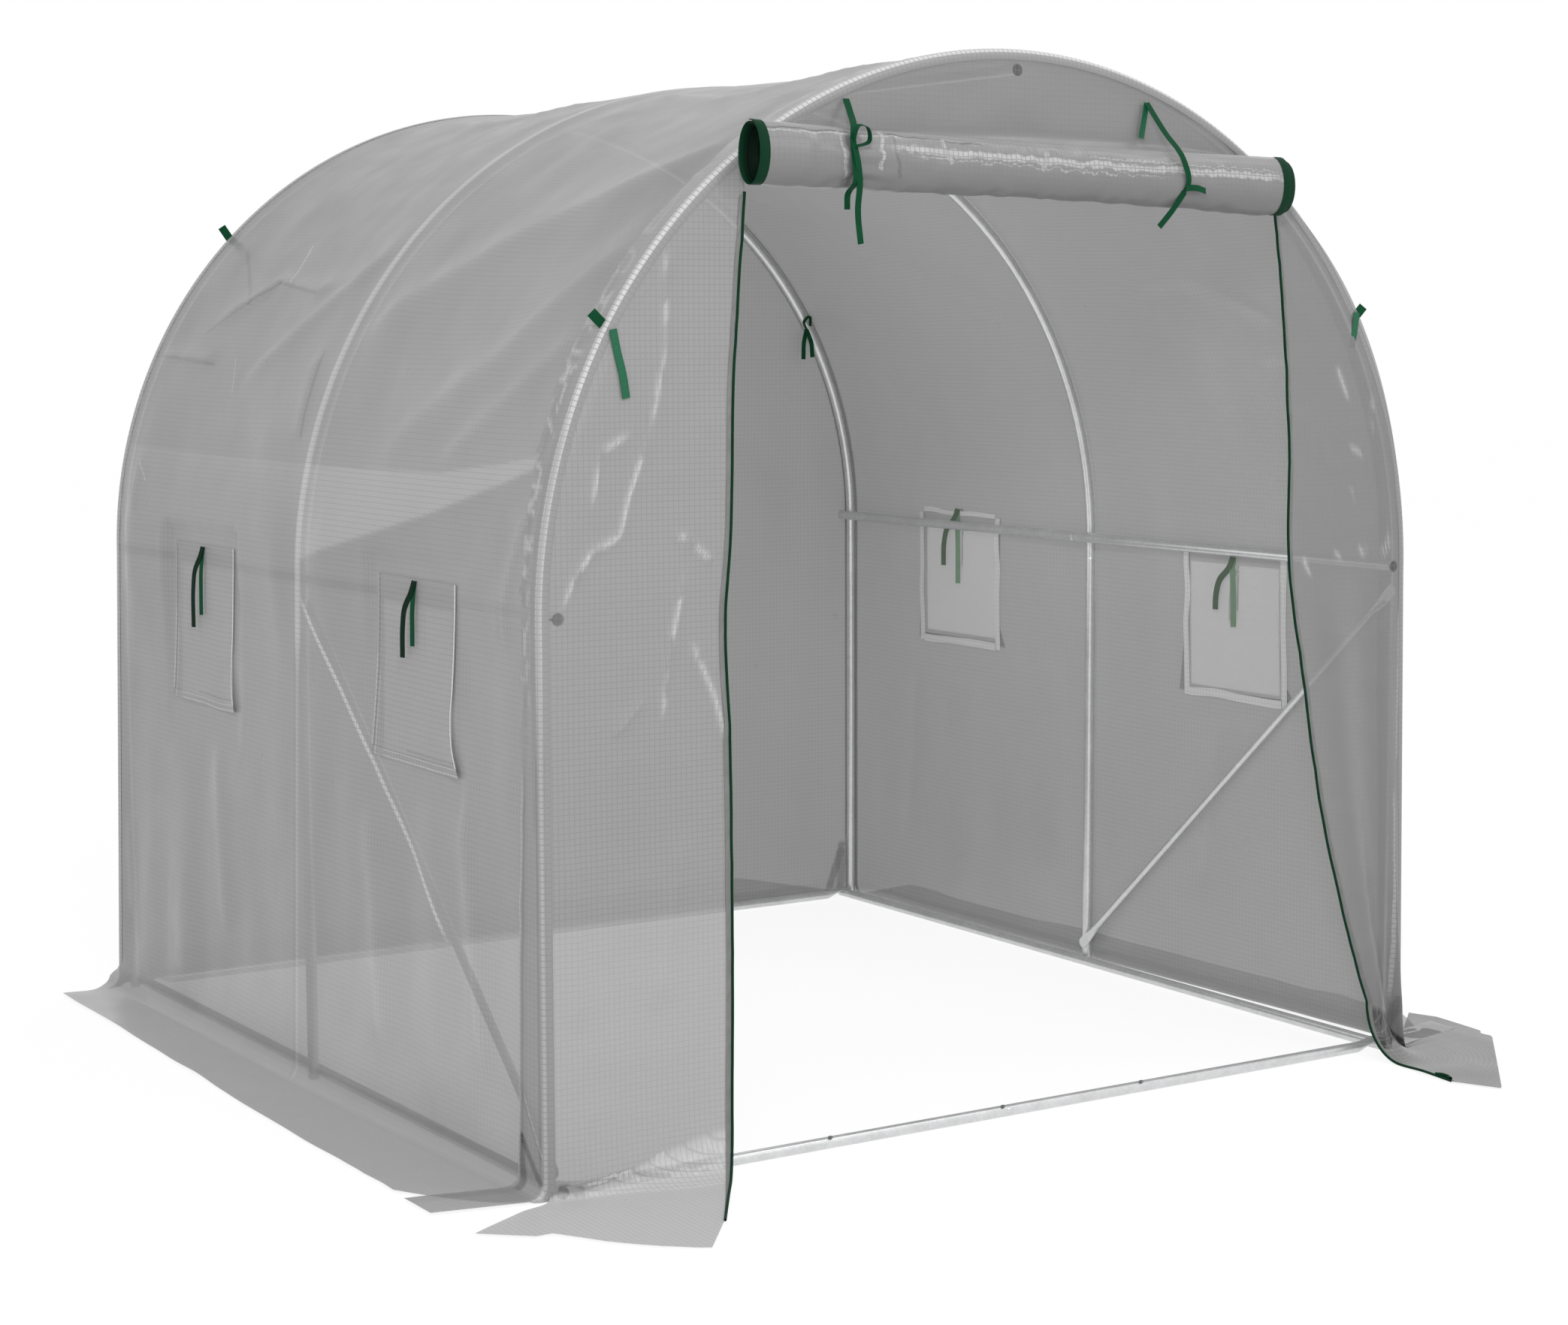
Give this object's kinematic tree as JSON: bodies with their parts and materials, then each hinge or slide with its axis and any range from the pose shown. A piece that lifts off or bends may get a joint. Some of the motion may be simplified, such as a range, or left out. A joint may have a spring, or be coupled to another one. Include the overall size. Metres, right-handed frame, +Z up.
{
  "type": "polytunnel greenhouse",
  "caption": "Walk-in polytunnel greenhouse: a frame of galvanised tube hoops and rails under a translucent film cover with side windows, ground skirts and a rolled-up zip door.",
  "frame": {"origin": "middle of the tunnel's ground area, at ground level", "axes": "+X to the right as seen from the door end, +Y from the door end to the rear wall, +Z up"},
  "size_m": [2.4026, 2.7046, 2.0013],
  "materials": {
    "galvanised_steel": "galvanised, satin",
    "cover_film": "translucent film with a woven ripstop grid",
    "window_net": "fine insect net",
    "zip_tape": "woven zip tape",
    "green_tape": "woven polyester tape"
  },
  "bodies": {
    "root": {"door_ties": "green_tape", "door_zips": "zip_tape", "front_arch": "galvanised_steel", "front_base_rail_left": "galvanised_steel", "front_base_rail_right": "galvanised_steel", "front_left_leg": "galvanised_steel", "front_left_panel": "cover_film", "front_left_skirt": "cover_film", "front_right_leg": "galvanised_steel", "front_right_panel": "cover_film", "front_right_skirt": "cover_film", "front_top_panel": "cover_film", "hoop_ties": "green_tape", "left_base_rail_front": "galvanised_steel", "left_base_rail_rear": "galvanised_steel", "left_brace": "galvanised_steel", "left_purlin_front": "galvanised_steel", "left_purlin_rear": "galvanised_steel", "left_roof": "cover_film", "left_skirt": "cover_film", "left_wall": "cover_film", "mid_arch": "galvanised_steel", "mid_left_leg": "galvanised_steel", "mid_right_leg": "galvanised_steel", "rear_arch": "galvanised_steel", "rear_base_rail_left": "galvanised_steel", "rear_base_rail_right": "galvanised_steel", "rear_left_leg": "galvanised_steel", "rear_right_leg": "galvanised_steel", "rear_skirt": "cover_film", "rear_wall": "cover_film", "ridge_purlin_front": "galvanised_steel", "ridge_purlin_rear": "galvanised_steel", "right_base_rail_front": "galvanised_steel", "right_base_rail_rear": "galvanised_steel", "right_brace": "galvanised_steel", "right_purlin_front": "galvanised_steel", "right_purlin_rear": "galvanised_steel", "right_roof": "cover_film", "right_skirt": "cover_film", "right_wall": "cover_film", "rolled_door": "cover_film", "window_flaps": "cover_film", "window_screens": "window_net", "window_ties": "green_tape"}
  },
  "joints": []
}
